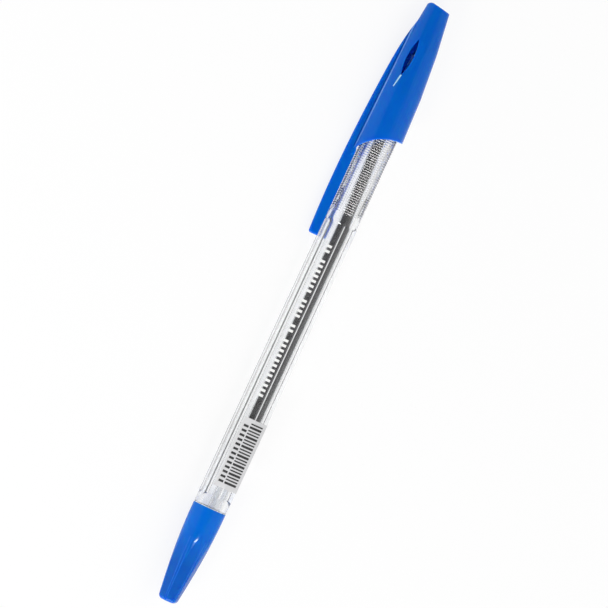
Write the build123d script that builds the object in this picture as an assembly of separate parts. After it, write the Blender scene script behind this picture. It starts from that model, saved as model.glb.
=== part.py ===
from build123d import *
from math import asin, atan, cos, degrees, hypot, radians, sin, sqrt, tan
import os

# Stick ballpoint pen with its cap on, in millimetres.
# The pen's axis is X. x = 0 is the flat end of the tail plug, and +X points to the writing end.
# Every piece is drawn with the clip towards +Z, and rolled at the end to how the pen lies on a table.

# Tail plug
plug_length = 23.5
plug_collar_radius = 4.01
plug_collar_length = 3.0
plug_end_radius = 2.4
plug_end_rounding = 0.9
plug_swell = 0.3
plug_flat_start = 7.5
plug_flat_depth = 0.28
plug_steps = 4
plug_end_steps = 2
plug_core_radius = 2.0
plug_end_wall = 4.0

# Barrel, from its tail to its nose
spigot_radius = 3.1
spigot_length = 9.5
neck_radius = 3.98
neck_length = 2.2
hex_across_flats = 7.25
hex_edge_rounding = 0.25
hex_length = 69.9
hex_turn = 15.0
runout_length = 1.5
runout_lap = 0.3
band_length = 1.8
grip_radius = 3.87
grip_length = 22.6
rib_pitch = 0.57
rib_depth = 0.14
seat_length = 6.3
nose_root_radius = 3.3
nose_tip_radius = 2.15
nose_length = 11.1
nose_swell = 0.3
bore_radius = 2.45
nose_hole_length = 8.5

# Point and refill
ball_radius = 0.5
ball_clearance = 0.02
ball_showing = 0.3
socket_lip = 0.06
tip_channel_radius = 0.3
tip_cone_length = 3.2
tip_shank_radius = 1.15
tip_shank_length = 2.3
tip_collar_radius = 1.45
tip_collar_length = 0.8
tip_stem_radius = 1.05
tip_stem_length = 4.5
holder_nose_radius = 1.6
holder_collar_length = 3.5
holder_stem_length = 6.0
holder_channel_radius = 0.45
tube_outer_radius = 1.5
tube_bore_radius = 0.8
tube_tail_place = 18.0
tube_straight_length = 1.0
tube_lean_length = 24.0
tube_rest_gap = 0.1
ink_tail_place = 38.0
inner_gap = 0.02

# Barcode label, wrapped over three flats
label_length = 17.2
label_width = 9.7
label_thickness = 0.1
label_tail_gap = 3.2
label_first_edge = 0.5

# Cap and clip
cap_engagement = 8.6
cap_fit = 0.05
cap_wall = 1.06
cap_upper_wall = 0.95
cap_end_wall = 2.5
cap_tip_gap = 3.3
cap_stop_gap = 0.05
cap_nose_gap = 0.2
cap_slant = 10.0
cap_corner_rounding = 1.3
cap_corner_lift = 0.25
cap_lean = 0.78
cap_end_share = 0.534
cap_taper_power = 2.1
cap_steps = 3
rim_sweep_drop = 4.8
rim_sweep_blend = 0.8
clip_reach = 59.5
clip_rise = 1.52
clip_width = 2.9
clip_clearance = 0.05
clip_edge_bevel = 0.3
clip_tip_rounding = 0.6
vent_top_place = 8.9
vent_length = 9.2
vent_width = 1.45
vent_offset = 1.45
vent_tail_drift = 0.38
vent_widest_share = 0.58

# How far every cut runs past the piece it cuts
overrun = 2.0

# Angle from one flat of a hexagon to the next
hex_step = 360 / 6

# Places along the pen
rim_x = plug_length
hex_start_x = rim_x + neck_length
hex_end_x = hex_start_x + hex_length
grip_start_x = hex_end_x + band_length
seat_start_x = grip_start_x + grip_length
shoulder_x = seat_start_x + seat_length
nose_x = shoulder_x + nose_length
holder_seat_x = nose_x - nose_hole_length
tube_front_x = holder_seat_x - holder_collar_length
stem_x = tube_front_x - holder_stem_length
lean_x = stem_x - tube_straight_length
rest_x = lean_x - tube_lean_length
shank_x = nose_x + tip_collar_length
cone_x = shank_x + tip_shank_length
ball_x = cone_x + tip_cone_length
cap_rim_x = shoulder_x - cap_engagement
cap_top_x = ball_x + ball_radius + cap_tip_gap + cap_end_wall
clip_tip_x = cap_top_x - clip_reach

# Sizes that follow from the ones above
hex_corner_radius = hex_across_flats / sqrt(3)
core_radius = (bore_radius + hex_across_flats / 2) / 2
socket_radius = ball_radius + ball_clearance
tube_lean = bore_radius - tube_outer_radius - tube_rest_gap
cap_body_length = cap_top_x - cap_rim_x
cap_bore_radius = grip_radius + cap_fit
cap_mouth_radius = cap_bore_radius + cap_wall
clip_stand = cap_mouth_radius + clip_rise
hex_edge_height = hex_corner_radius * cos(radians(hex_step / 2 - hex_turn))
clip_inner = hex_edge_height + clip_clearance

# Back line of the clip: place as a share of its reach, height as a share of its greatest height
clip_back_shares = [(0.075, 0.53), (0.155, 0.7), (0.31, 0.855), (0.46, 0.934), (0.694, 1), (1, 0.945)]


def turned(*points):
    """Solid of revolution about the pen's axis, from a closed outline of (x, radius) points."""
    return revolve(make_face(Plane.XZ * Polyline(*points, close=True)), Axis.X)


def rod(start_x, end_x, radius):
    """Round rod on the pen's axis."""
    return turned((start_x, 0), (end_x, 0), (end_x, radius), (start_x, radius))


def side_prism(outline, width):
    """Side view outline, drawn in (x, height), given an even width across the pen."""
    return extrude(make_face(Plane.XZ * outline), amount=width / 2, both=True)


def hex_outline(across_flats, turn):
    """Hexagon square to the pen's axis, with rounded corners."""
    corners = RegularPolygon(across_flats / 2, 6, major_radius=False, rotation=turn)
    return fillet(corners.vertices(), hex_edge_rounding)


def plug_taper_radius(along_share):
    """Radius of the plug's swelling taper, from its rounded end at 0 to its collar at 1."""
    swell = 4 * plug_swell * along_share * (1 - along_share)
    return plug_end_radius + (plug_collar_radius - plug_end_radius) * along_share + swell


def tail_plug():
    """Tapered plug: round collar, swelling taper with six flats fading in, hollow for the spigot."""
    taper_length = plug_length - plug_collar_length - plug_end_rounding
    corner = []
    for step in range(plug_end_steps):
        turn = radians(90 * step / plug_end_steps)
        rise = plug_end_rounding * sin(turn)
        corner.append((plug_end_rounding * (1 - cos(turn)), plug_end_radius - plug_end_rounding + rise))
    flank = []
    for step in range(plug_steps + 1):
        along_share = step / plug_steps
        flank.append((plug_end_rounding + taper_length * along_share, plug_taper_radius(along_share)))
    body = turned((0, 0), *corner, *flank, (plug_length, plug_collar_radius), (plug_length, 0))

    flat_start_x = plug_length - plug_flat_start
    start_half = plug_taper_radius((flat_start_x - plug_end_rounding) / taper_length)
    tail_half = plug_end_radius - plug_flat_depth
    flat_slope = degrees(atan((start_half - tail_half) / flat_start_x))
    end_hexagon = RegularPolygon(tail_half, 6, major_radius=False, rotation=hex_turn + hex_step / 2)
    body &= extrude(Plane.YZ * end_hexagon, amount=plug_length, taper=-flat_slope)

    spigot_end_x = plug_length - spigot_length
    body -= rod(spigot_end_x - inner_gap, plug_length + overrun, spigot_radius + inner_gap)
    return body - rod(plug_end_wall, spigot_end_x, plug_core_radius)


def ribs():
    """Outline points of the ribbed grip: crests with vee grooves between them."""
    count = round(grip_length / rib_pitch)
    pitch = grip_length / count
    points = []
    for index in range(count):
        crest_x = grip_start_x + index * pitch
        points.append((crest_x, grip_radius))
        points.append((crest_x + pitch / 2, grip_radius - rib_depth))
    return points


def barrel():
    """Clear barrel: tail spigot, hexagonal stretch, ribbed grip, cap seat and bored nose."""
    lower = Polyline(
        (nose_x, nose_tip_radius),
        (nose_x, 0),
        (rim_x - spigot_length, 0),
        (rim_x - spigot_length, spigot_radius),
        (rim_x, spigot_radius),
        (rim_x, neck_radius),
        (hex_start_x + runout_lap, neck_radius),
        (hex_start_x + runout_lap + runout_length, core_radius),
        (hex_end_x - runout_lap - runout_length, core_radius),
        (hex_end_x - runout_lap, grip_radius),
        *ribs(),
        (seat_start_x, grip_radius),
        (shoulder_x, grip_radius),
        (shoulder_x, nose_root_radius),
    )
    nose = SagittaArc((shoulder_x, nose_root_radius), (nose_x, nose_tip_radius), nose_swell)
    body = revolve(make_face(Plane.XZ * (lower + nose)), Axis.X)

    crown_radius = hex_corner_radius + runout_lap
    tail_slope = (crown_radius - neck_radius) / runout_length
    grip_slope = (crown_radius - grip_radius) / runout_length
    envelope = turned(
        (hex_start_x - runout_lap, 0),
        (hex_start_x - runout_lap, neck_radius - tail_slope * runout_lap),
        (hex_start_x + runout_length, crown_radius),
        (hex_end_x - runout_length, crown_radius),
        (hex_end_x + runout_lap, grip_radius - grip_slope * runout_lap),
        (hex_end_x + runout_lap, 0),
    )
    flats = Plane.YZ.offset(hex_start_x - overrun) * hex_outline(hex_across_flats, hex_turn)
    body += extrude(flats, amount=hex_length + 2 * overrun) & envelope

    body -= rod(rim_x - spigot_length - overrun, holder_seat_x, bore_radius)
    return body - rod(holder_seat_x, nose_x + overrun, holder_nose_radius)


def tip_holder():
    """Adapter pressed into the barrel's nose, with a stem for the tube and a socket for the point."""
    stem_radius = tube_bore_radius - inner_gap
    nose_radius = holder_nose_radius - inner_gap
    collar_radius = bore_radius - inner_gap
    body = turned(
        (stem_x, 0),
        (stem_x, stem_radius),
        (tube_front_x, stem_radius),
        (tube_front_x, collar_radius),
        (holder_seat_x, collar_radius),
        (holder_seat_x, nose_radius),
        (nose_x, nose_radius),
        (nose_x, 0),
    )
    body -= rod(stem_x - overrun, nose_x, holder_channel_radius)
    return body - rod(nose_x - tip_stem_length, nose_x + overrun, tip_stem_radius)


def writing_tip():
    """Turned metal point: stem, collar, shank and cone, with the ball's socket and ink channel."""
    lip_x = ball_x + ball_radius - ball_showing
    lip_radius = sqrt(socket_radius**2 - (lip_x - ball_x) ** 2) + socket_lip
    body = turned(
        (nose_x - tip_stem_length, 0),
        (nose_x - tip_stem_length, tip_stem_radius - inner_gap),
        (nose_x, tip_stem_radius - inner_gap),
        (nose_x, tip_collar_radius),
        (shank_x, tip_collar_radius),
        (shank_x, tip_shank_radius),
        (cone_x, tip_shank_radius),
        (ball_x, socket_radius + 2 * socket_lip),
        (lip_x, lip_radius),
        (lip_x, 0),
    )
    body -= Pos(ball_x, 0, 0) * Sphere(socket_radius)
    return body - rod(nose_x - tip_stem_length - overrun, ball_x, tip_channel_radius)


def writing_ball():
    """Ball of the point."""
    return Pos(ball_x, 0, 0) * Sphere(ball_radius)


def refill_run(section, front_x, tail_x):
    """A section carried to the tail: past the stem it leans off the axis, then rests on the bore."""
    line = Polyline((front_x, 0), (lean_x, 0), (rest_x, -tube_lean), (tail_x, -tube_lean))
    return sweep(Plane.YZ.offset(front_x) * section, Plane.XZ * line, transition=Transition.RIGHT)


def refill_tube():
    """Plain tube that slips over the holder's stem and lies along the bore to the tail."""
    return refill_run(Circle(tube_outer_radius), tube_front_x, tube_tail_place) - refill_run(
        Circle(tube_bore_radius), tube_front_x + overrun, tube_tail_place - overrun
    )


def ink_column():
    """Ink in the tube, in the holder's channel and in the point, up to the back of the ball."""
    feed_x = nose_x - tip_stem_length
    channel_radius = holder_channel_radius - inner_gap
    feed_radius = tip_channel_radius - inner_gap
    front = turned(
        (stem_x, 0),
        (stem_x, channel_radius),
        (feed_x, channel_radius),
        (feed_x, feed_radius),
        (ball_x - socket_radius, feed_radius),
        (ball_x - socket_radius, 0),
    )
    return front + refill_run(Circle(tube_bore_radius - inner_gap), stem_x, ink_tail_place)


def barcode_label():
    """Paper sticker that lies on three flats of the barrel, two edges round."""
    side = hex_across_flats / sqrt(3)
    apothem = hex_across_flats / 2
    first_flat = 180 + hex_turn - hex_step / 2
    third_flat = first_flat + 2 * hex_step
    last_edge = label_width - label_first_edge - 2 * side
    start_angle = first_flat - degrees(atan(label_first_edge / apothem))
    end_angle = third_flat + degrees(atan(last_edge / apothem))
    reach = 2 * hex_across_flats
    angles = [start_angle, (start_angle + end_angle) / 2, end_angle]
    edges = [(reach * cos(radians(angle)), reach * sin(radians(angle))) for angle in angles]
    wedge = make_face(Polyline((0, 0), *edges, close=True))
    outline = hex_outline(hex_across_flats, hex_turn)
    band = offset(outline, label_thickness) - outline
    plane = Plane.YZ.offset(hex_start_x + label_tail_gap)
    return extrude(plane * (band & wedge), amount=label_length)


def cap_radius(down_share):
    """Radius of the cap's body, from its closed end at 0 to its mouth at 1."""
    return cap_mouth_radius * (1 - (1 - cap_end_share) * (1 - down_share) ** cap_taper_power)


def cap_shift(down_share):
    """How far the cap's body stands off the axis towards the clip, from its closed end to its mouth."""
    return tan(radians(cap_lean)) * (1 - down_share) * cap_body_length


def cap_body():
    """Outer form of the cap: a swelling taper that leans towards the clip, about the mouth's centre."""
    low_x = cap_rim_x - rim_sweep_drop - overrun
    high_x = cap_top_x + overrun / 2
    points = [(low_x, cap_mouth_radius)]
    for step in range(cap_steps + 1):
        down_share = 1 - step / cap_steps
        points.append((cap_top_x - down_share * cap_body_length, cap_radius(down_share)))
    body = turned((low_x, 0), *points, (high_x, cap_radius(0)), (high_x, 0))
    return Pos(X=cap_rim_x) * Rot(Y=-cap_lean) * Pos(X=-cap_rim_x) * body


def clip_rib():
    """Clip and the rib that joins it to the cap, one even width with bevelled outer edges."""
    back = [(cap_top_x - place * clip_reach, height * clip_stand) for place, height in clip_back_shares]
    back_line = Spline(*back)
    inside = clip_inner / 2
    ends = Polyline(back[-1], (clip_tip_x, inside), (back[0][0], inside), back[0])
    rib = side_prism(back_line + ends, clip_width)
    tip_edges = rib.edges().filter_by(Axis.Y).group_by(Axis.X)[0]
    rib = fillet(tip_edges.sort_by(Axis.Z)[-1], clip_tip_rounding)
    rims = rib.edges().filter_by(lambda edge: edge.length > clip_reach / 2).sort_by(Axis.Z)[-2:]
    return chamfer(rims, clip_edge_bevel)


def end_trim():
    """What the closed end leaves off: a slant that falls to the far side, rounded on the clip side."""
    clip_side = cap_radius(0) + cap_shift(0) + cap_corner_lift
    slant = radians(cap_slant)
    centre_x = cap_top_x - cap_corner_rounding
    centre_height = clip_side - cap_corner_rounding
    bend = CenterArc((centre_x, centre_height), cap_corner_rounding, -cap_slant, 90 + cap_slant)
    clear_height = 2 * cap_mouth_radius
    far_height = -clear_height
    slant_top = bend @ 0
    far_x = slant_top.X - (slant_top.Y - far_height) * tan(slant)
    outside = Polyline(
        bend @ 1,
        (centre_x, clear_height),
        (cap_top_x + overrun, clear_height),
        (cap_top_x + overrun, far_height),
        (far_x, far_height),
        slant_top,
    )
    return side_prism(bend + outside, 2 * clear_height)


def rim_trim():
    """What lies below the mouth: the rim is level at the far side and sweeps down to the clip."""
    far_height = -(cap_mouth_radius + overrun)
    sweep_start = (cap_rim_x, -cap_mouth_radius)
    sweep_end = (cap_rim_x - rim_sweep_drop, clip_inner)
    level = Line((cap_rim_x, far_height), sweep_start)
    sweep = TangentArc(sweep_start, sweep_end, tangent=(0, 1))
    outside = Polyline(
        sweep_end,
        (clip_tip_x - overrun, clip_inner),
        (clip_tip_x - overrun, far_height),
        (cap_rim_x, far_height),
    )
    face = make_face(Plane.XZ * (level + sweep + outside))
    face = fillet(face.vertices().sort_by_distance((sweep_end[0], 0, sweep_end[1]))[0], rim_sweep_blend)
    return extrude(face, amount=2 * cap_mouth_radius, both=True)


def vent():
    """Leaf-shaped vent in the near side of the cap, its lower end drifting towards the clip."""
    top_x = cap_top_x - vent_top_place
    tail = (top_x - vent_length, vent_offset + vent_tail_drift)
    widest_x = top_x - vent_length * vent_widest_share
    middle = vent_offset + vent_tail_drift * vent_widest_share
    clip_edge = Spline((top_x, vent_offset), (widest_x, middle + vent_width / 2), tail)
    far_edge = Spline(tail, (widest_x, middle - vent_width / 2), (top_x, vent_offset))
    leaf = make_face(Plane.XZ * (clip_edge + far_edge))
    return extrude(leaf, amount=2 * cap_mouth_radius, dir=(0, -1, 0))


def cap_hollow():
    """Inside of the cap: bore for the grip, a stop for the barrel's shoulder, then room for the nose."""
    stop_x = shoulder_x + cap_stop_gap
    end_x = cap_top_x - cap_end_wall
    walls = []
    for wall_x in (end_x, (end_x + stop_x) / 2):
        down_share = (cap_top_x - wall_x) / cap_body_length
        walls.append((wall_x, cap_radius(down_share) - cap_shift(down_share) - cap_upper_wall))
    return turned(
        (end_x, 0),
        *walls,
        (stop_x, nose_root_radius + cap_nose_gap),
        (stop_x, cap_bore_radius),
        (cap_rim_x - rim_sweep_drop - 2 * overrun, cap_bore_radius),
        (cap_rim_x - rim_sweep_drop - 2 * overrun, 0),
    )


def cap():
    """Cap with its clip, one moulding."""
    return cap_body() + clip_rib() - end_trim() - cap_hollow() - rim_trim() - vent()


def resting_roll():
    """Roll about the axis at which the cap's rim and the clip's edge both touch the table."""
    height = clip_stand - clip_edge_bevel
    half = clip_width / 2
    touch = asin(cap_mouth_radius / hypot(height, half))
    lean = degrees(touch - atan(half / height))
    return -(90 + lean)


pieces = {
    "cap": cap,
    "barrel": barrel,
    "tail_plug": tail_plug,
    "barcode_label": barcode_label,
    "refill_tube": refill_tube,
    "ink_column": ink_column,
    "tip_holder": tip_holder,
    "writing_tip": writing_tip,
    "writing_ball": writing_ball,
}

os.makedirs("parts", exist_ok=True)
lying = Rot(X=resting_roll())
for node, make in pieces.items():
    export_step(lying * make(), f"parts/{node}.step")
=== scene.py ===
"""Looks of a capped stick ballpoint pen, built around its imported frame. Lengths are in metres."""

from math import atan, atan2, cos, degrees, pi, radians, sin, sqrt, tan

import bmesh
import bpy
from mathutils import Matrix, Vector
from mathutils.bvhtree import BVHTree


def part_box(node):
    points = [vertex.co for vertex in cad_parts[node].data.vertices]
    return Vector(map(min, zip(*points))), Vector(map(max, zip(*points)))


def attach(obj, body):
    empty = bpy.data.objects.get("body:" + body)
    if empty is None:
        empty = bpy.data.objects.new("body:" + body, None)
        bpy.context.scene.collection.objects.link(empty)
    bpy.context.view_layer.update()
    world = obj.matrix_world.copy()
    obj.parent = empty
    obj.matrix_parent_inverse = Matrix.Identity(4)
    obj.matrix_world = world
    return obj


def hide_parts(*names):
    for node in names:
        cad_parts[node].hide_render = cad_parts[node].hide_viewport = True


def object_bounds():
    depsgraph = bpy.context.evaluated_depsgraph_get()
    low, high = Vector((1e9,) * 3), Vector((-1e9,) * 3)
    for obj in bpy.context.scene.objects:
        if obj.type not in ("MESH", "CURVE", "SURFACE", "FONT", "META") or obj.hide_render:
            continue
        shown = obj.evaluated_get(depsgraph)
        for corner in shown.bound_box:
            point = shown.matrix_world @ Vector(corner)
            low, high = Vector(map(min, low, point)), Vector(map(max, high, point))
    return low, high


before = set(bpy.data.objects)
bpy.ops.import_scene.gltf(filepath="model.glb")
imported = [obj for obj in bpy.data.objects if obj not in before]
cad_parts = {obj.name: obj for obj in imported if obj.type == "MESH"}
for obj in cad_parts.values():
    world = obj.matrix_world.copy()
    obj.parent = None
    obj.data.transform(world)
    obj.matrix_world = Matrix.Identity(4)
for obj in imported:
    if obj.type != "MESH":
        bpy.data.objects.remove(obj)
cad_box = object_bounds()

MM = 0.001
WELD_DISTANCE = 0.001 * MM
SHARP_ANGLE = 35.0

# Places along the pen, read from the frame
RIM_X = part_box("tail_plug")[1].x
SPIGOT_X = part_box("barrel")[0].x
NOSE_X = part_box("barrel")[1].x
LABEL_LOW_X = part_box("barcode_label")[0].x
LABEL_HIGH_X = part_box("barcode_label")[1].x
CLIP_TIP_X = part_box("cap")[0].x
CAP_TOP_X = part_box("cap")[1].x
TABLE_Z = cad_box[0][2]

# Barrel
SPIGOT_RADIUS = 3.1 * MM
NECK_RADIUS = 3.98 * MM
NECK_LENGTH = 2.2 * MM
NECK_BEVEL = 0.2 * MM
HEX_SIDES = 6
HEX_STEP = 360 / HEX_SIDES
HEX_HALF_STEP = HEX_STEP / 2
HEX_TURN = 15.0
HEX_LENGTH = 69.9 * MM
HEX_APOTHEM = 3.625 * MM
HEX_ROUNDING = 0.25 * MM
RUNOUT_LENGTH = 1.5 * MM
RUNOUT_LAP = 0.3 * MM
RUNOUT_STEPS = 10
BAND_LENGTH = 1.8 * MM
GRIP_RADIUS = 3.87 * MM
GRIP_LENGTH = 22.6 * MM
RIB_COUNT = 40
RIB_DEPTH = 0.14 * MM
RIB_VALLEY_SHARE = 2 / 3
SEAT_LENGTH = 6.3 * MM
NOSE_ROOT_RADIUS = 3.3 * MM
NOSE_TIP_RADIUS = 2.15 * MM
NOSE_SWELL = 0.3 * MM
NOSE_STEPS = 12
BORE_RADIUS = 2.45 * MM
NOSE_HOLE_RADIUS = 1.6 * MM
NOSE_HOLE_LENGTH = 8.5 * MM
FLAT_SAMPLES = 12
CORNER_SAMPLES = 4
HEX_START_X = RIM_X + NECK_LENGTH
HEX_END_X = HEX_START_X + HEX_LENGTH
GRIP_X = HEX_END_X + BAND_LENGTH
GRIP_END_X = GRIP_X + GRIP_LENGTH

# Tail plug
PLUG_COLLAR_RADIUS = 4.01 * MM
PLUG_COLLAR_LENGTH = 3.0 * MM
PLUG_END_RADIUS = 2.4 * MM
PLUG_END_ROUNDING = 1.15 * MM
PLUG_SWELL = 0.3 * MM
PLUG_FLAT_START = 7.5 * MM
PLUG_FLAT_DEPTH = 0.28 * MM
PLUG_EDGE_BLEND = 0.05 * MM
# Turns of the plug's flat edges that get a painted highlight
PLUG_EDGE_TURNS = (23.0, 27.0)
PLUG_CORE_RADIUS = 2.0 * MM
PLUG_END_WALL = 4.0 * MM
PLUG_RIM_FACING = 0.9
PLUG_ROUND_STEPS = 180
PLUG_TAPER_STEPS = 90
PLUG_END_STEPS = 10
PLUG_TAPER_LENGTH = RIM_X - PLUG_COLLAR_LENGTH - PLUG_END_ROUNDING
PLUG_FLATS_X = RIM_X - PLUG_FLAT_START

# Refill
INK_WETTING = 0.04 * MM

# Label's bars and ticks, and the dashes printed on the barrel
LABEL_THICKNESS = 0.1 * MM
PRINT_THICKNESS = 0.012 * MM
BAR_MARGIN = 1.2 * MM
BAR_TURNS = (8.0, 61.5)
BAR_WIDTHS = (0.55 * MM, 0.34 * MM, 0.34 * MM)
BAR_GAP = 0.36 * MM
TICK_TURNS = (-14.0, 4.0)
TICK_LENGTH = 0.55 * MM
TICK_PITCH = 1.15 * MM
DASH_START_X = 51.6 * MM
DASH_TURNS = (-12.7, 5.3)
DASH_LENGTH = 0.62 * MM
DASH_PITCH = 1.25 * MM
DASH_GROUPS = (12, 2, 4, 7, 2)

# Cap's form, and its lines of painted shade and painted highlight; places on it are (along the pen, to
# the viewer's right)
CAP_VOXEL_MM = 0.09
CAP_SMOOTH_FACTOR = 0.5
CAP_SMOOTH_PASSES = 2
CAP_KEPT_SHARE = 0.3
CAP_FILL = 0.12 * MM
CLIP_FILL = 0.22 * MM
CLIP_FREE_X = 112.0 * MM
CLIP_ALONE_SHARE = 1 / 5
# Crease below the vent, a thin ridge coloured as a painted highlight
CREASE_TOP = (131.9 * MM, -1.84 * MM)
CREASE_END = (128.8 * MM, -2.4 * MM)
CREASE_WIDTH = 0.38 * MM
CREASE_NARROWING = 0.5
CREASE_HEIGHT_SHARE = 0.5
CREASE_STEPS = 8
CREASE_SIDES = 6
CREASE_SHARP_ANGLE = 80.0
# Painted shade line where the clip's rib meets the body, and a painted highlight line beside it
CORNER_TOP = (145.2 * MM, -4.2 * MM)
CORNER_END = (112.8 * MM, -4.93 * MM)
CORNER_HALF = 0.13 * MM
CORNER_EDGE_OFFSET = 0.36 * MM
CORNER_FACING = 0.1
# Rim edge that gets a painted highlight
RIM_ZONE_X = (112.0 * MM, 122.0 * MM)
RIM_FACING = -0.6

# Materials
NOISE_DETAIL = 3.0
BUMP_STRENGTH = 0.3
PLASTIC_IOR = 1.49
PLASTIC_GRAIN = 0.6 * MM
PLASTIC_GRAIN_DEPTH = 0.004 * MM
PLASTIC_ROUGH_SPREAD = 0.05
PLASTIC_FLOW = 9.0 * MM
PLASTIC_FLOW_SPAN = (0.25, 0.75)
PLASTIC_GLOW_RADII = (0.3, 0.8, 2.0)
PAPER_GRAIN = 0.15 * MM
PRINT_GRAIN = 0.1 * MM
BLUE_SEEP = (0.06, 0.35, 0.75)
PLUG_DEEP_X = (9.0 * MM, 18.5 * MM)
CLEAR_TINT = (0.97, 0.975, 0.98)
CLEAR_IOR = 1.57
CLEAR_ROUGH = 0.01
CLEAR_ROUGH_SPREAD = 0.03
CLEAR_GRAIN = 1.5 * MM
CLEAR_GRAIN_DEPTH = 0.002 * MM
REFILL_IOR = 1.5
COAT_IOR = 2.2
COAT_ROUGH = 0.05
METAL_GRAIN = 0.8 * MM
METAL_GRAIN_SPAN = (0.2, 0.8)
METAL_ROUGH_SPREAD = 0.06
TOOL_MARK_PITCH = 0.12 * MM
TOOL_MARK_DEPTH = 0.003 * MM

# Stage
LAMP_DISTANCE = 1.0
FLOOR_HALF = 3.0
FLOOR_COLOUR = (0.9, 0.9, 0.9, 1)
FLOOR_GLOW = 1.0
FLOOR_GLOW_SHARE = 0.85
FLOOR_GLOW_SHARE_BEYOND = 0.5
WORLD_COLOUR = (1, 1, 1, 1)
WORLD_GLOW = 0.86
WORLD_GLOW_DARK = 0.12
WORLD_DARK_LEAN = 20.0
WORLD_DARK_ANGLES = (32.0, 46.0)

# Camera, at the photograph's view
VIEW_DISTANCE = 1.8
VIEW_SPAN = 139.4 * MM
VIEW_TILT = 24.8
SENSOR_MM = 36.0
LENS_NEAR = 0.01
LENS_FAR = 10.0


def clip_direction():
    """Direction from the pen's axis to the clip, from the part of the cap that is clip alone."""
    low_x = CLIP_TIP_X + (CAP_TOP_X - CLIP_TIP_X) * CLIP_ALONE_SHARE
    total = Vector((0, 0, 0))
    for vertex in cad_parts["cap"].data.vertices:
        if vertex.co.x < low_x:
            total += Vector((0, vertex.co.y, vertex.co.z))
    return total.normalized()


# The pen's own directions: along it, to the viewer's right, and to the viewer
ALONG = Vector((1, 0, 0))
RIGHT = -clip_direction()
TO_VIEWER = RIGHT.cross(ALONG)


def place(x, radius, turn):
    """Point on the pen: turn is in degrees about its axis, 0 to the viewer and 90 to the right."""
    angle = radians(turn)
    return ALONG * x + TO_VIEWER * (radius * cos(angle)) + RIGHT * (radius * sin(angle))


def new_piece(name, points, faces, sharp_angle=SHARP_ANGLE):
    """Smooth-shaded mesh piece, with edges past sharp_angle kept sharp."""
    mesh = bpy.data.meshes.new(name)
    mesh.from_pydata([tuple(point) for point in points], [], faces)
    mesh.validate()
    outward = bmesh.new()
    outward.from_mesh(mesh)
    bmesh.ops.recalc_face_normals(outward, faces=outward.faces)
    outward.to_mesh(mesh)
    outward.free()
    for polygon in mesh.polygons:
        polygon.use_smooth = True
    mesh.set_sharp_from_angle(angle=radians(sharp_angle))
    piece = bpy.data.objects.new(name, mesh)
    bpy.context.scene.collection.objects.link(piece)
    return piece


def skin(rings, loop):
    """Points and faces of a skin over equal rings, closed into a loop or capped at both ends."""
    count = len(rings[0])
    points = [point for ring in rings for point in ring]
    faces = []
    last = len(rings) if loop else len(rings) - 1
    for row in range(last):
        here = row * count
        there = (row + 1) % len(rings) * count
        for column in range(count):
            beside = (column + 1) % count
            faces.append((here + column, here + beside, there + beside, there + column))
    if not loop:
        faces.append(tuple(range(count)))
        faces.append(tuple(range((len(rings) - 1) * count, len(rings) * count)))
    return points, faces


def welded(node):
    """Points and faces of a node's mesh, with the points that its faces share made one."""
    copy = bmesh.new()
    copy.from_mesh(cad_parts[node].data)
    bmesh.ops.remove_doubles(copy, verts=copy.verts, dist=WELD_DISTANCE)
    copy.verts.index_update()
    points = [vertex.co.copy() for vertex in copy.verts]
    faces = [tuple(vertex.index for vertex in face.verts) for face in copy.faces]
    copy.free()
    return points, faces


def vertex_normals(mesh):
    """Copies of a mesh's vertex normals, which stay as they are while its vertices move."""
    return [vertex.normal.copy() for vertex in mesh.vertices]


def taper(start, end, swell, share):
    """Radius at a share of a taper that swells in its middle."""
    return start + (end - start) * share + 4 * swell * share * (1 - share)


def off_flat(turn, flat_turn):
    """Degrees from a turn to the middle of the nearest of six flats, one of which is at flat_turn."""
    return abs((turn - flat_turn + HEX_HALF_STEP) % HEX_STEP - HEX_HALF_STEP)


def round_rings(turns, *stations):
    """Round rings at stations of (x, radius)."""
    return [[place(x, radius, turn) for turn in turns] for x, radius in stations]


# Barrel


def flat_edge_angle():
    """Angle from the middle of a flat to where the rounded corner starts."""
    half_flat = (HEX_APOTHEM - HEX_ROUNDING) * tan(radians(HEX_HALF_STEP))
    return degrees(atan(half_flat / HEX_APOTHEM))


def hex_turns():
    """Turns of the points round the barrel, closer together at the hexagon's corners."""
    edge = flat_edge_angle()
    turns = []
    for side in range(HEX_SIDES):
        middle = HEX_TURN + HEX_HALF_STEP + HEX_STEP * side
        for sample in range(FLAT_SAMPLES):
            turns.append(middle - edge + 2 * edge * sample / (FLAT_SAMPLES - 1))
        for sample in range(1, CORNER_SAMPLES):
            turns.append(middle + edge + 2 * (HEX_HALF_STEP - edge) * sample / CORNER_SAMPLES)
    return turns


def hex_radius(turn, proud=0):
    """Radius of the rounded hexagon at a turn, or of a layer that stands proud of it."""
    off_middle = off_flat(turn, HEX_TURN + HEX_HALF_STEP)
    half_flat = (HEX_APOTHEM - HEX_ROUNDING) * tan(radians(HEX_HALF_STEP))
    if tan(radians(off_middle)) <= half_flat / (HEX_APOTHEM + proud):
        return (HEX_APOTHEM + proud) / cos(radians(off_middle))
    centre = (HEX_APOTHEM - HEX_ROUNDING) / cos(radians(HEX_HALF_STEP))
    off_corner = radians(HEX_HALF_STEP - off_middle)
    aside = centre * sin(off_corner)
    return centre * cos(off_corner) + sqrt((HEX_ROUNDING + proud) ** 2 - aside ** 2)


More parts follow.
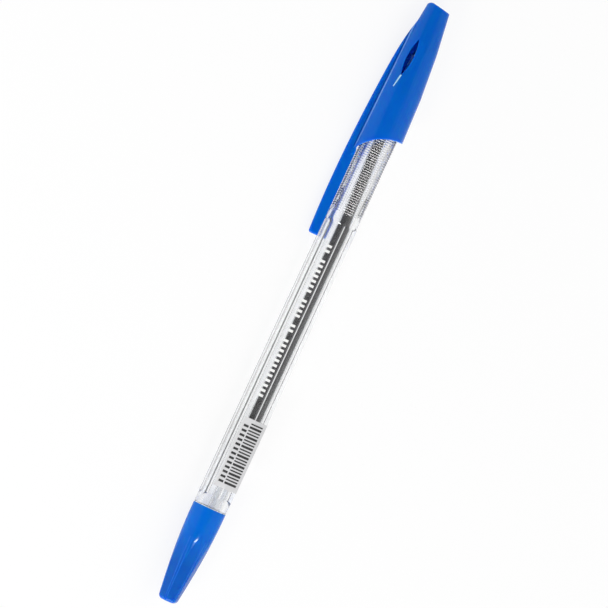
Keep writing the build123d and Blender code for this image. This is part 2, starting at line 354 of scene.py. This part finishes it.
def runout_rings(turns, hex_end_x, inward, round_radius):
    """Rings where the hexagon runs out into a round stretch; inward is the way to its middle."""
    crown = HEX_APOTHEM / cos(radians(HEX_HALF_STEP)) + RUNOUT_LAP
    core = (BORE_RADIUS + HEX_APOTHEM) / 2
    rings = []
    for step in range(RUNOUT_STEPS + 1):
        depth = -RUNOUT_LAP + (RUNOUT_LENGTH + 2 * RUNOUT_LAP) * step / RUNOUT_STEPS
        flare = round_radius + (crown - round_radius) * depth / RUNOUT_LENGTH
        fall = max(0, min(1, (depth - RUNOUT_LAP) / RUNOUT_LENGTH))
        under = round_radius + (core - round_radius) * fall
        x = hex_end_x + inward * depth
        rings.append([place(x, max(under, min(hex_radius(turn), flare)), turn) for turn in turns])
    return rings


def rib_stations():
    """Stations of the ribbed grip: crests with vee grooves between them."""
    pitch = GRIP_LENGTH / RIB_COUNT
    stations = []
    for rib in range(RIB_COUNT):
        stations.append((GRIP_X + pitch * rib, GRIP_RADIUS))
        stations.append((GRIP_X + pitch * (rib + RIB_VALLEY_SHARE), GRIP_RADIUS - RIB_DEPTH))
    return stations + [(GRIP_END_X, GRIP_RADIUS)]


def nose_stations(shoulder_x):
    """Stations of the nose, a taper with a slight swell."""
    stations = []
    for step in range(NOSE_STEPS + 1):
        share = step / NOSE_STEPS
        radius = taper(NOSE_ROOT_RADIUS, NOSE_TIP_RADIUS, NOSE_SWELL, share)
        stations.append((shoulder_x + (NOSE_X - shoulder_x) * share, radius))
    return stations


def barrel():
    """Clear barrel as one closed skin: outside from spigot to nose, then back along the bore."""
    turns = hex_turns()
    shoulder_x = GRIP_END_X + SEAT_LENGTH
    seat_x = NOSE_X - NOSE_HOLE_LENGTH
    neck_end = (RIM_X, NECK_RADIUS - NECK_BEVEL)
    rings = round_rings(turns, (SPIGOT_X, SPIGOT_RADIUS), (RIM_X, SPIGOT_RADIUS))
    rings += round_rings(turns, neck_end, (RIM_X + NECK_BEVEL, NECK_RADIUS))
    rings += runout_rings(turns, HEX_START_X, 1, NECK_RADIUS)
    rings += reversed(runout_rings(turns, HEX_END_X, -1, GRIP_RADIUS))
    rings += round_rings(turns, *rib_stations(), (shoulder_x, GRIP_RADIUS))
    rings += round_rings(turns, *nose_stations(shoulder_x))
    rings += round_rings(turns, (NOSE_X, NOSE_HOLE_RADIUS), (seat_x, NOSE_HOLE_RADIUS))
    rings += round_rings(turns, (seat_x, BORE_RADIUS), (SPIGOT_X, BORE_RADIUS))
    piece = new_piece("barrel_body", *skin(rings, loop=True))
    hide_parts("barrel")
    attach(piece, "pen")
    return piece


def dress_barrel(piece, plain, ribbed, painted_highlight):
    """Gives the barrel a ribbed material on its grip and a painted highlight, a whitish half-clear
    plastic, on the hexagon's edges.
    """
    dress(piece, plain, ribbed, painted_highlight)
    ribbed_slot = 1
    painted_highlight_slot = 2
    edge_radius = hex_radius(HEX_TURN + HEX_HALF_STEP - flat_edge_angle())
    for polygon in piece.data.polygons:
        x = polygon.center.x
        radius = (polygon.center - ALONG * x).length
        if GRIP_X < x < GRIP_END_X and radius > BORE_RADIUS:
            polygon.material_index = ribbed_slot
        # Painted highlight on the hexagon's rounded edges
        elif HEX_START_X < x < HEX_END_X and radius > edge_radius:
            polygon.material_index = painted_highlight_slot


# Tail plug


def plug_taper(share):
    """Radius of the plug's taper, from its rounded end at 0 to its collar at 1."""
    return taper(PLUG_END_RADIUS, PLUG_COLLAR_RADIUS, PLUG_SWELL, share)


def plug_stations():
    """Stations of (x, radius) of the plug's taper and collar, before its flats are taken off."""
    stations = []
    for step in range(PLUG_TAPER_STEPS + 1):
        share = step / PLUG_TAPER_STEPS
        stations.append((PLUG_END_ROUNDING + PLUG_TAPER_LENGTH * share, plug_taper(share)))
    stations.append((RIM_X, PLUG_COLLAR_RADIUS))
    return stations


def soft_least(first, second, blend):
    """The smaller of two lengths, rounded over where they are within blend of each other."""
    near = max(0, blend - abs(first - second)) / blend
    return min(first, second) - near * near * blend / 4


def plug_radius(x, radius, turn):
    """Radius of the plug with its six flats."""
    tail_half = PLUG_END_RADIUS - PLUG_FLAT_DEPTH
    start_half = plug_taper((PLUG_FLATS_X - PLUG_END_ROUNDING) / PLUG_TAPER_LENGTH)
    half = tail_half + (start_half - tail_half) * x / PLUG_FLATS_X
    return soft_least(radius, half / cos(radians(off_flat(turn, HEX_TURN))), PLUG_EDGE_BLEND)


def plug_end_rings(turns):
    """Rings of the plug's rounded end, which follows its flats."""
    radii = [plug_radius(PLUG_END_ROUNDING, PLUG_END_RADIUS, turn) for turn in turns]
    rings = []
    for step in range(PLUG_END_STEPS):
        angle = pi / 2 * step / PLUG_END_STEPS
        x = PLUG_END_ROUNDING * (1 - cos(angle))
        inset = PLUG_END_ROUNDING * (1 - sin(angle))
        rings.append([place(x, radius - inset, turn) for radius, turn in zip(radii, turns)])
    return rings


def plug():
    """Blue tail plug: rounded end, taper with six flats fading in, collar, and its hollow."""
    turns = [360 * step / PLUG_ROUND_STEPS for step in range(PLUG_ROUND_STEPS)]
    rings = plug_end_rings(turns)
    for x, radius in plug_stations():
        rings.append([place(x, plug_radius(x, radius, turn), turn) for turn in turns])
    rings += round_rings(turns, (RIM_X, SPIGOT_RADIUS), (SPIGOT_X, SPIGOT_RADIUS))
    rings += round_rings(turns, (SPIGOT_X, PLUG_CORE_RADIUS), (PLUG_END_WALL, PLUG_CORE_RADIUS))
    piece = new_piece("plug_body", *skin(rings, loop=False))
    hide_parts("tail_plug")
    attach(piece, "pen")
    return piece


def dress_plug(piece, plain, painted_highlight, painted_rim_glint):
    """Gives the plug painted highlights: a lighter blue on the edges between its flats, and a pale one
    on its rim.
    """
    dress(piece, plain, painted_highlight, painted_rim_glint)
    painted_highlight_slot = 1
    painted_rim_glint_slot = 2
    first_turn, last_turn = PLUG_EDGE_TURNS
    for polygon in piece.data.polygons:
        point = polygon.center
        turn = degrees(atan2(point.dot(RIGHT), point.dot(TO_VIEWER)))
        on_edge = first_turn < off_flat(turn, HEX_TURN) < last_turn
        # Painted highlight along the edges between the flats
        if on_edge and PLUG_END_ROUNDING < point.x < PLUG_FLATS_X:
            polygon.material_index = painted_highlight_slot
        # Painted highlight on the rim's face
        elif polygon.normal.x > PLUG_RIM_FACING and point.x > SPIGOT_X:
            polygon.material_index = painted_rim_glint_slot


# Cap


def soften(piece):
    """Gives a piece that is drawn in millimetres soft moulded edges, and brings it to metres."""
    remesh = piece.modifiers.new("Remesh", "REMESH")
    remesh.mode = "VOXEL"
    remesh.voxel_size = CAP_VOXEL_MM
    smooth = piece.modifiers.new("Smooth", "SMOOTH")
    smooth.factor = CAP_SMOOTH_FACTOR
    smooth.iterations = CAP_SMOOTH_PASSES
    thin = piece.modifiers.new("Thin", "DECIMATE")
    thin.ratio = CAP_KEPT_SHARE
    seen = piece.evaluated_get(bpy.context.evaluated_depsgraph_get())
    piece.data = bpy.data.meshes.new_from_object(seen)
    piece.modifiers.clear()
    piece.data.transform(Matrix.Scale(MM, 4))
    for polygon in piece.data.polygons:
        polygon.use_smooth = True


def fill_out(mesh):
    """Fills out the cap's right side, and the clip's inner face where it lies along the barrel."""
    for vertex, normal in zip(mesh.vertices, vertex_normals(mesh)):
        outward = max(0, normal.dot(RIGHT))
        if vertex.co.dot(RIGHT) > 0:
            vertex.co += RIGHT * (CAP_FILL * outward)
        elif vertex.co.x < CLIP_FREE_X and vertex.co.dot(TO_VIEWER) > 0:
            vertex.co += RIGHT * (CLIP_FILL * outward)


def cap():
    """Cap with its clip, remeshed from the frame's own solid so that its moulded edges are soft."""
    points, faces = welded("cap")
    piece = new_piece("cap_shell", [point / MM for point in points], faces)
    soften(piece)
    fill_out(piece.data)
    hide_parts("cap")
    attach(piece, "cap")
    return piece


def line_offset(point, top, end):
    """How far right of a line, drawn on the viewer's side from top to end, a point lies."""
    share = (point.x - end[0]) / (top[0] - end[0])
    return point.dot(RIGHT) - (end[1] + (top[1] - end[1]) * share)


def dress_cap(piece, plain, painted_shade, painted_highlight):
    """Gives the cap a dark line of painted shade where the clip's rib joins it, a light line of painted
    highlight beside it, and a painted highlight on its rim.
    """
    dress(piece, plain, painted_shade, painted_highlight)
    painted_shade_slot = 1
    painted_highlight_slot = 2
    for polygon in piece.data.polygons:
        point = polygon.center
        near_viewer = polygon.normal.dot(TO_VIEWER) > CORNER_FACING
        if near_viewer and CORNER_END[0] < point.x < CORNER_TOP[0]:
            offset = line_offset(point, CORNER_TOP, CORNER_END)
            # Painted shade: dark line where the clip's rib meets the body
            if abs(offset) < CORNER_HALF:
                polygon.material_index = painted_shade_slot
            # Painted highlight: light line beside it
            elif abs(offset - CORNER_EDGE_OFFSET) < CORNER_HALF:
                polygon.material_index = painted_highlight_slot
        # Painted highlight on the rim's edge
        if RIM_ZONE_X[0] < point.x < RIM_ZONE_X[1] and polygon.normal.x < RIM_FACING:
            polygon.material_index = painted_highlight_slot


def crease_ring(surface, middle, half):
    """Ring of the crease about a place on the cap, half its width wide, low on the surface."""
    ring = []
    for corner in range(CREASE_SIDES):
        angle = 2 * pi * corner / CREASE_SIDES
        across = middle.y + half * cos(angle)
        above = ALONG * middle.x + RIGHT * across + TO_VIEWER * CAP_TOP_X
        hit = surface.ray_cast(above, -TO_VIEWER)[0]
        ring.append(hit + TO_VIEWER * (half * CREASE_HEIGHT_SHARE * sin(angle)))
    return ring


def crease(shell):
    """Crease that runs on from the vent's lower end: a thin ridge, pale as a painted highlight."""
    points = [vertex.co for vertex in shell.data.vertices]
    faces = [polygon.vertices for polygon in shell.data.polygons]
    surface = BVHTree.FromPolygons(points, faces)
    rings = []
    for step in range(CREASE_STEPS + 1):
        share = step / CREASE_STEPS
        middle = Vector(CREASE_TOP).lerp(Vector(CREASE_END), share)
        half = CREASE_WIDTH / 2 * (1 - share * CREASE_NARROWING)
        rings.append(crease_ring(surface, middle, half))
    piece = new_piece("vent_crease", *skin(rings, loop=False), CREASE_SHARP_ANGLE)
    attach(piece, "cap")
    return piece


# Refill


def ink():
    """Dark ink, swelled a hair from the frame's own column so that it wets the walls round it."""
    piece = new_piece("ink_body", *welded("ink_column"))
    for vertex, normal in zip(piece.data.vertices, vertex_normals(piece.data)):
        vertex.co += normal * INK_WETTING
    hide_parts("ink_column")
    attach(piece, "pen")
    return piece


# Marks


def turns_between(first_turn, last_turn):
    """Two turns, with the barrel's own turns that lie between them."""
    turns = [turn + lap for turn in hex_turns() for lap in (-360, 0)]
    inner = sorted(turn for turn in turns if first_turn < turn < last_turn)
    return [first_turn, *inner, last_turn]


def strip(low_x, high_x, first_turn, last_turn, proud):
    """Points and faces of a thin printed strip on the hexagon, over its edge where it crosses one."""
    rings = []
    for turn in turns_between(first_turn, last_turn):
        low = hex_radius(turn, proud)
        high = hex_radius(turn, proud + PRINT_THICKNESS)
        rings.append([place(low_x, low, turn), place(high_x, low, turn),
                      place(high_x, high, turn), place(low_x, high, turn)])
    return skin(rings, loop=False)


def joined(name, strips):
    """One piece of many strips, printed on the pen."""
    points = []
    faces = []
    for strip_points, strip_faces in strips:
        start = len(points)
        points += strip_points
        faces += [tuple(start + index for index in face) for face in strip_faces]
    piece = new_piece(name, points, faces)
    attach(piece, "pen")
    return piece


def label_bars():
    """Plain bars on the label, in an even beat of widths, which is no code."""
    strips = []
    x = LABEL_LOW_X + BAR_MARGIN
    while x < LABEL_HIGH_X - BAR_MARGIN:
        width = BAR_WIDTHS[len(strips) % len(BAR_WIDTHS)]
        strips.append(strip(x, x + width, *BAR_TURNS, LABEL_THICKNESS))
        x += width + BAR_GAP
    return joined("label_bars", strips)


def label_ticks():
    """Row of plain ticks beside the label's bars."""
    strips = []
    x = LABEL_LOW_X + BAR_MARGIN
    while x + TICK_LENGTH < LABEL_HIGH_X - BAR_MARGIN / 2:
        strips.append(strip(x, x + TICK_LENGTH, *TICK_TURNS, LABEL_THICKNESS))
        x += TICK_PITCH
    return joined("label_ticks", strips)


def barrel_dashes():
    """Row of plain white dashes printed on one flat, in groups."""
    strips = []
    x = DASH_START_X
    for count in DASH_GROUPS:
        for _ in range(count):
            strips.append(strip(x, x + DASH_LENGTH, *DASH_TURNS, 0))
            x += DASH_PITCH
        x += DASH_PITCH
    return joined("barrel_dashes", strips)


# Materials


def new_material(name):
    """Empty node material, with its node tree and its output node."""
    material = bpy.data.materials.new(name)
    material.use_nodes = True
    tree = material.node_tree
    tree.nodes.clear()
    return material, tree, tree.nodes.new("ShaderNodeOutputMaterial")


def new_node(tree, kind, settings):
    """New node, with input sockets set from a table."""
    node = tree.nodes.new(kind)
    for socket, value in settings.items():
        node.inputs[socket].default_value = value
    return node


def own_space(tree):
    """Places in the pen's own space."""
    return tree.nodes.new("ShaderNodeTexCoord").outputs["Object"]


def noise(tree, size):
    """Fine noise of a size in metres."""
    texture = new_node(tree, "ShaderNodeTexNoise", {"Scale": 1 / size, "Detail": NOISE_DETAIL})
    tree.links.new(own_space(tree), texture.inputs["Vector"])
    return texture.outputs["Fac"]


def mapped(tree, value, low, high, start=0.0, stop=1.0):
    """Value between start and stop, mapped to the span from low to high."""
    settings = {"From Min": start, "From Max": stop, "To Min": low, "To Max": high}
    span = new_node(tree, "ShaderNodeMapRange", settings)
    tree.links.new(value, span.inputs["Value"])
    return span.outputs["Result"]


def calculated(tree, operation, *terms):
    """Result of a calculation on sockets and fixed numbers."""
    node = tree.nodes.new("ShaderNodeMath")
    node.operation = operation
    for socket, term in zip(node.inputs, terms):
        if isinstance(term, float):
            socket.default_value = term
        else:
            tree.links.new(term, socket)
    return node.outputs["Value"]


def mixed(tree, factor, first, second):
    """Shader that goes from a first to a second one by a factor."""
    mix = tree.nodes.new("ShaderNodeMixShader")
    tree.links.new(factor, mix.inputs["Fac"])
    tree.links.new(first, mix.inputs[1])
    tree.links.new(second, mix.inputs[2])
    return mix.outputs["Shader"]


def along_tone(tree, low_x, high_x):
    """Factor that rises from 0 to 1 along the pen, between two places."""
    split = tree.nodes.new("ShaderNodeSeparateXYZ")
    tree.links.new(own_space(tree), split.inputs["Vector"])
    return mapped(tree, split.outputs["X"], 0.0, 1.0, low_x, high_x)


def roughen(tree, shader, texture, low, high, depth):
    """Roughness between low and high, and bumps of a depth, from one texture."""
    tree.links.new(mapped(tree, texture, low, high), shader.inputs["Roughness"])
    relief = new_node(tree, "ShaderNodeBump", {"Strength": BUMP_STRENGTH, "Distance": depth})
    tree.links.new(texture, relief.inputs["Height"])
    tree.links.new(relief.outputs["Normal"], shader.inputs["Normal"])


def tint(tree, shader, factor, dark, light):
    """Base colour that goes from a dark to a light tint by a factor."""
    mix = tree.nodes.new("ShaderNodeMix")
    mix.data_type = "RGBA"
    mix.inputs["A"].default_value = (*dark, 1)
    mix.inputs["B"].default_value = (*light, 1)
    tree.links.new(factor, mix.inputs["Factor"])
    tree.links.new(mix.outputs["Result"], shader.inputs["Base Color"])


def lit_through(tree, shader, seep):
    """Shows a shader, but lets the lamps' light through it in a tint, as thin plastic does."""
    opening = new_node(tree, "ShaderNodeBsdfTransparent", {"Color": (*seep, 1)})
    path = tree.nodes.new("ShaderNodeLightPath")
    return mixed(tree, path.outputs["Is Shadow Ray"], shader, opening.outputs["BSDF"])


def moulded(name, dark, light, rough, grain=PLASTIC_GRAIN, gloss=0.5, glow=0.0, seep=None,
            deep_x=None):
    """Moulded plastic: two close tints, faint flow marks and a soft gloss.

    With glow, light spreads inside it. With seep, the lamps' light goes through it in that tint.
    With deep_x, two places along the pen, the dark tint is at the first and the light at the second.
    """
    material, tree, output = new_material(name)
    shader = new_node(tree, "ShaderNodeBsdfPrincipled", {
        "IOR": PLASTIC_IOR,
        "Specular IOR Level": gloss,
        "Subsurface Weight": glow,
        "Subsurface Radius": PLASTIC_GLOW_RADII,
        "Subsurface Scale": MM,
    })
    if deep_x:
        tone = along_tone(tree, *deep_x)
    else:
        tone = mapped(tree, noise(tree, PLASTIC_FLOW), *PLASTIC_FLOW_SPAN)
    tint(tree, shader, tone, dark, light)
    low = rough - PLASTIC_ROUGH_SPREAD
    high = rough + PLASTIC_ROUGH_SPREAD
    roughen(tree, shader, noise(tree, grain), low, high, PLASTIC_GRAIN_DEPTH)
    surface = shader.outputs["BSDF"]
    if seep:
        surface = lit_through(tree, surface, seep)
    tree.links.new(surface, output.inputs["Surface"])
    return material


def clear(name, colour=CLEAR_TINT, rough=CLEAR_ROUGH, ior=CLEAR_IOR, coat=0.0, clarity=1.0):
    """Clear plastic that bends what is seen through it and lets the lamps through; a coat shines."""
    material, tree, output = new_material(name)
    shader = new_node(tree, "ShaderNodeBsdfPrincipled", {
        "Base Color": (*colour, 1),
        "Transmission Weight": clarity,
        "IOR": ior,
        "Coat Weight": coat,
        "Coat IOR": COAT_IOR,
        "Coat Roughness": COAT_ROUGH,
    })
    high = rough + CLEAR_ROUGH_SPREAD
    roughen(tree, shader, noise(tree, CLEAR_GRAIN), rough, high, CLEAR_GRAIN_DEPTH)
    surface = lit_through(tree, shader.outputs["BSDF"], colour)
    tree.links.new(surface, output.inputs["Surface"])
    return material


def turned_metal(name, dark, light, rough):
    """Turned metal with fine tool marks round the axis."""
    material, tree, output = new_material(name)
    shader = new_node(tree, "ShaderNodeBsdfPrincipled", {"Metallic": 1.0})
    tone = mapped(tree, noise(tree, METAL_GRAIN), *METAL_GRAIN_SPAN)
    tint(tree, shader, tone, dark, light)
    marks = new_node(tree, "ShaderNodeTexWave", {"Scale": 1 / TOOL_MARK_PITCH})
    marks.bands_direction = "X"
    tree.links.new(own_space(tree), marks.inputs["Vector"])
    low = rough - METAL_ROUGH_SPREAD
    high = rough + METAL_ROUGH_SPREAD
    roughen(tree, shader, marks.outputs["Fac"], low, high, TOOL_MARK_DEPTH)
    tree.links.new(shader.outputs["BSDF"], output.inputs["Surface"])
    return material


def dress(piece, *materials):
    """Gives a piece or a node its materials."""
    piece.data.materials.clear()
    for material in materials:
        piece.data.materials.append(material)


# Stage


def floor_material():
    """White that keeps the pen's shadow, and shows white in gloss and through clear plastic too."""
    material, tree, output = new_material("floor_white")
    lit = new_node(tree, "ShaderNodeBsdfDiffuse", {"Color": FLOOR_COLOUR})
    glow = new_node(tree, "ShaderNodeEmission", {"Strength": FLOOR_GLOW})
    path = tree.nodes.new("ShaderNodeLightPath").outputs
    beyond = calculated(tree, "MAXIMUM", path["Is Glossy Ray"], path["Is Transmission Ray"])
    dimmed = calculated(tree, "MULTIPLY", beyond, FLOOR_GLOW_SHARE_BEYOND)
    share = calculated(tree, "MULTIPLY_ADD", path["Is Camera Ray"], FLOOR_GLOW_SHARE, dimmed)
    surface = mixed(tree, share, lit.outputs["BSDF"], glow.outputs["Emission"])
    tree.links.new(surface, output.inputs["Surface"])
    return material


def stage_floor():
    """Pale floor under the pen."""
    corners = ((-1, -1), (1, -1), (1, 1), (-1, 1))
    points = [(x * FLOOR_HALF, y * FLOOR_HALF, TABLE_Z) for x, y in corners]
    mesh = bpy.data.meshes.new("floor")
    mesh.from_pydata(points, [], [(0, 1, 2, 3)])
    mesh.materials.append(floor_material())
    floor = bpy.data.objects.new("floor", mesh)
    bpy.context.scene.collection.objects.link(floor)


def stage_world():
    """Soft even surroundings, darker on one side, where a photographer stands."""
    world = bpy.data.worlds.new("studio")
    bpy.context.scene.world = world
    world.use_nodes = True
    tree = world.node_tree
    tree.nodes.clear()
    output = tree.nodes.new("ShaderNodeOutputWorld")
    sky = new_node(tree, "ShaderNodeBackground", {"Color": WORLD_COLOUR})
    space = tree.nodes.new("ShaderNodeTexCoord")
    lean = radians(WORLD_DARK_LEAN)
    facing = tree.nodes.new("ShaderNodeVectorMath")
    facing.operation = "DOT_PRODUCT"
    facing.inputs[1].default_value = TO_VIEWER * cos(lean) + ALONG * sin(lean)
    tree.links.new(space.outputs["Generated"], facing.inputs[0])
    full_dark, full_light = [cos(radians(angle)) for angle in WORLD_DARK_ANGLES]
    strength = mapped(tree, facing.outputs["Value"], WORLD_GLOW, WORLD_GLOW_DARK, full_light, full_dark)
    tree.links.new(strength, sky.inputs["Strength"])
    tree.links.new(sky.outputs["Background"], output.inputs["Surface"])


def pen_middle():
    """Middle of the pen's axis."""
    return ALONG * (CAP_TOP_X / 2)


def stage_lamp(name, angle, across, depth, power, aside=0.0):
    """Soft lamp, turned from the viewer to the cap's end by angle and to the right by aside."""
    lamp = bpy.data.lights.new(name, "AREA")
    lamp.shape = "RECTANGLE"
    lamp.size = across
    lamp.size_y = depth
    lamp.energy = power
    holder = bpy.data.objects.new(name, lamp)
    bpy.context.scene.collection.objects.link(holder)
    level = TO_VIEWER * cos(radians(aside)) + RIGHT * sin(radians(aside))
    away = level * cos(radians(angle)) + ALONG * sin(radians(angle))
    side = ALONG.cross(level)
    turn = Matrix((side, away.cross(side), away)).transposed()
    spot = Matrix.Translation(pen_middle() + away * LAMP_DISTANCE)
    holder.matrix_world = spot @ turn.to_4x4()


def stage_camera():
    """Long lens, square to the pen and to the clip, rolled so that the cap points up and right."""
    lens = bpy.data.cameras.new("camera")
    lens.sensor_width = SENSOR_MM
    lens.lens = SENSOR_MM * VIEW_DISTANCE / VIEW_SPAN
    lens.clip_start = LENS_NEAR
    lens.clip_end = LENS_FAR
    camera = bpy.data.objects.new("camera", lens)
    bpy.context.scene.collection.objects.link(camera)
    tilt = radians(VIEW_TILT)
    up = ALONG * cos(tilt) - RIGHT * sin(tilt)
    side = ALONG * sin(tilt) + RIGHT * cos(tilt)
    turn = Matrix((side, up, TO_VIEWER)).transposed()
    spot = Matrix.Translation(pen_middle() + TO_VIEWER * VIEW_DISTANCE)
    camera.matrix_world = spot @ turn.to_4x4()
    bpy.context.scene.camera = camera


# Blue plastic of the cap and the plug
blue = moulded("blue_plastic", dark=(0.0, 0.125, 0.54), light=(0.001, 0.139, 0.59), rough=0.08,
               gloss=0.16, glow=1.0, seep=BLUE_SEEP)
plug_blue = moulded("plug_blue", dark=(0.0, 0.099, 0.45), light=(0.001, 0.152, 0.60), rough=0.055,
                    gloss=0.15, glow=1.0, seep=BLUE_SEEP, deep_x=PLUG_DEEP_X)
# Lighter, glossier blue: a painted highlight on the edges between the plug's flats
painted_highlight_edge_blue = moulded("painted_highlight_edge_blue", dark=(0.008, 0.135, 0.56), light=(0.012, 0.16, 0.62), rough=0.1,
                    gloss=0.3, glow=1.0, deep_x=PLUG_DEEP_X)
# Darker blue: painted shade along the clip's rib
painted_shade_blue = moulded("painted_shade_blue", dark=(0.0, 0.05, 0.3), light=(0.001, 0.06, 0.34), rough=0.15,
                    gloss=0.1)
# Lighter blue: a painted highlight beside the clip's rib and on the cap's rim
painted_highlight_blue = moulded("painted_highlight_blue", dark=(0.11, 0.28, 0.70), light=(0.15, 0.33, 0.76), rough=0.2,
                    gloss=0.4)
# Pale white: a painted highlight on the vent's crease and on the plug's rim
painted_highlight_white = moulded("painted_highlight_white_plastic", dark=(0.36, 0.66, 0.92), light=(0.44, 0.74, 0.95), rough=0.25)

# Clear plastic of the barrel and the refill
clear_plastic = clear("clear_plastic")
ribbed_plastic = clear("ribbed_plastic", coat=0.3)
# Whitish, half-clear plastic: a painted highlight on the hexagon's edges
painted_highlight_clear = clear("painted_highlight_clear", rough=0.2, clarity=0.3)
tube_plastic = clear("tube_plastic", colour=(0.9, 0.91, 0.92), rough=0.12, ior=REFILL_IOR)
holder_plastic = clear("holder_plastic", colour=(0.85, 0.87, 0.88), rough=0.3, ior=REFILL_IOR)

# Ink, paper, print and metal
ink_dark = moulded("ink_dark", dark=(0.008, 0.008, 0.009), light=(0.016, 0.015, 0.016), rough=0.3)
paper = moulded("label_paper", dark=(0.57, 0.57, 0.58), light=(0.67, 0.67, 0.68), rough=0.6,
                grain=PAPER_GRAIN)
black_print = moulded("black_print", dark=(0.012, 0.012, 0.013), light=(0.025, 0.025, 0.026),
                      rough=0.5, grain=PRINT_GRAIN)
white_print = moulded("white_print", dark=(0.8, 0.8, 0.79), light=(0.88, 0.88, 0.87), rough=0.4,
                      grain=PRINT_GRAIN)
tip_metal = turned_metal("tip_metal", dark=(0.6, 0.58, 0.54), light=(0.72, 0.70, 0.66), rough=0.22)
ball_metal = turned_metal("ball_metal", dark=(0.45, 0.45, 0.47), light=(0.55, 0.55, 0.57), rough=0.12)

cap_shell = cap()
dress_cap(cap_shell, blue, painted_shade_blue, painted_highlight_blue)
dress(crease(cap_shell), painted_highlight_white)
dress_plug(plug(), plug_blue, painted_highlight_edge_blue, painted_highlight_white)
dress_barrel(barrel(), clear_plastic, ribbed_plastic, painted_highlight_clear)
dress(ink(), ink_dark)
dress(label_bars(), black_print)
dress(label_ticks(), black_print)
dress(barrel_dashes(), white_print)
dress(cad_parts["refill_tube"], tube_plastic)
dress(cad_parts["tip_holder"], holder_plastic)
dress(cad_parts["barcode_label"], paper)
dress(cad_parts["writing_tip"], tip_metal)
dress(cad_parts["writing_ball"], ball_metal)

stage_floor()
stage_world()
stage_lamp("tail_lamp", angle=-75.0, across=1.1, depth=0.45, power=8.0)
stage_lamp("spark_lamp", angle=-13.0, across=0.04, depth=0.04, power=1.3, aside=14.0)
stage_lamp("end_lamp", angle=-33.0, across=0.2, depth=0.2, power=3.0, aside=-15.0)
stage_camera()
bpy.context.scene.view_settings.view_transform = "Standard"
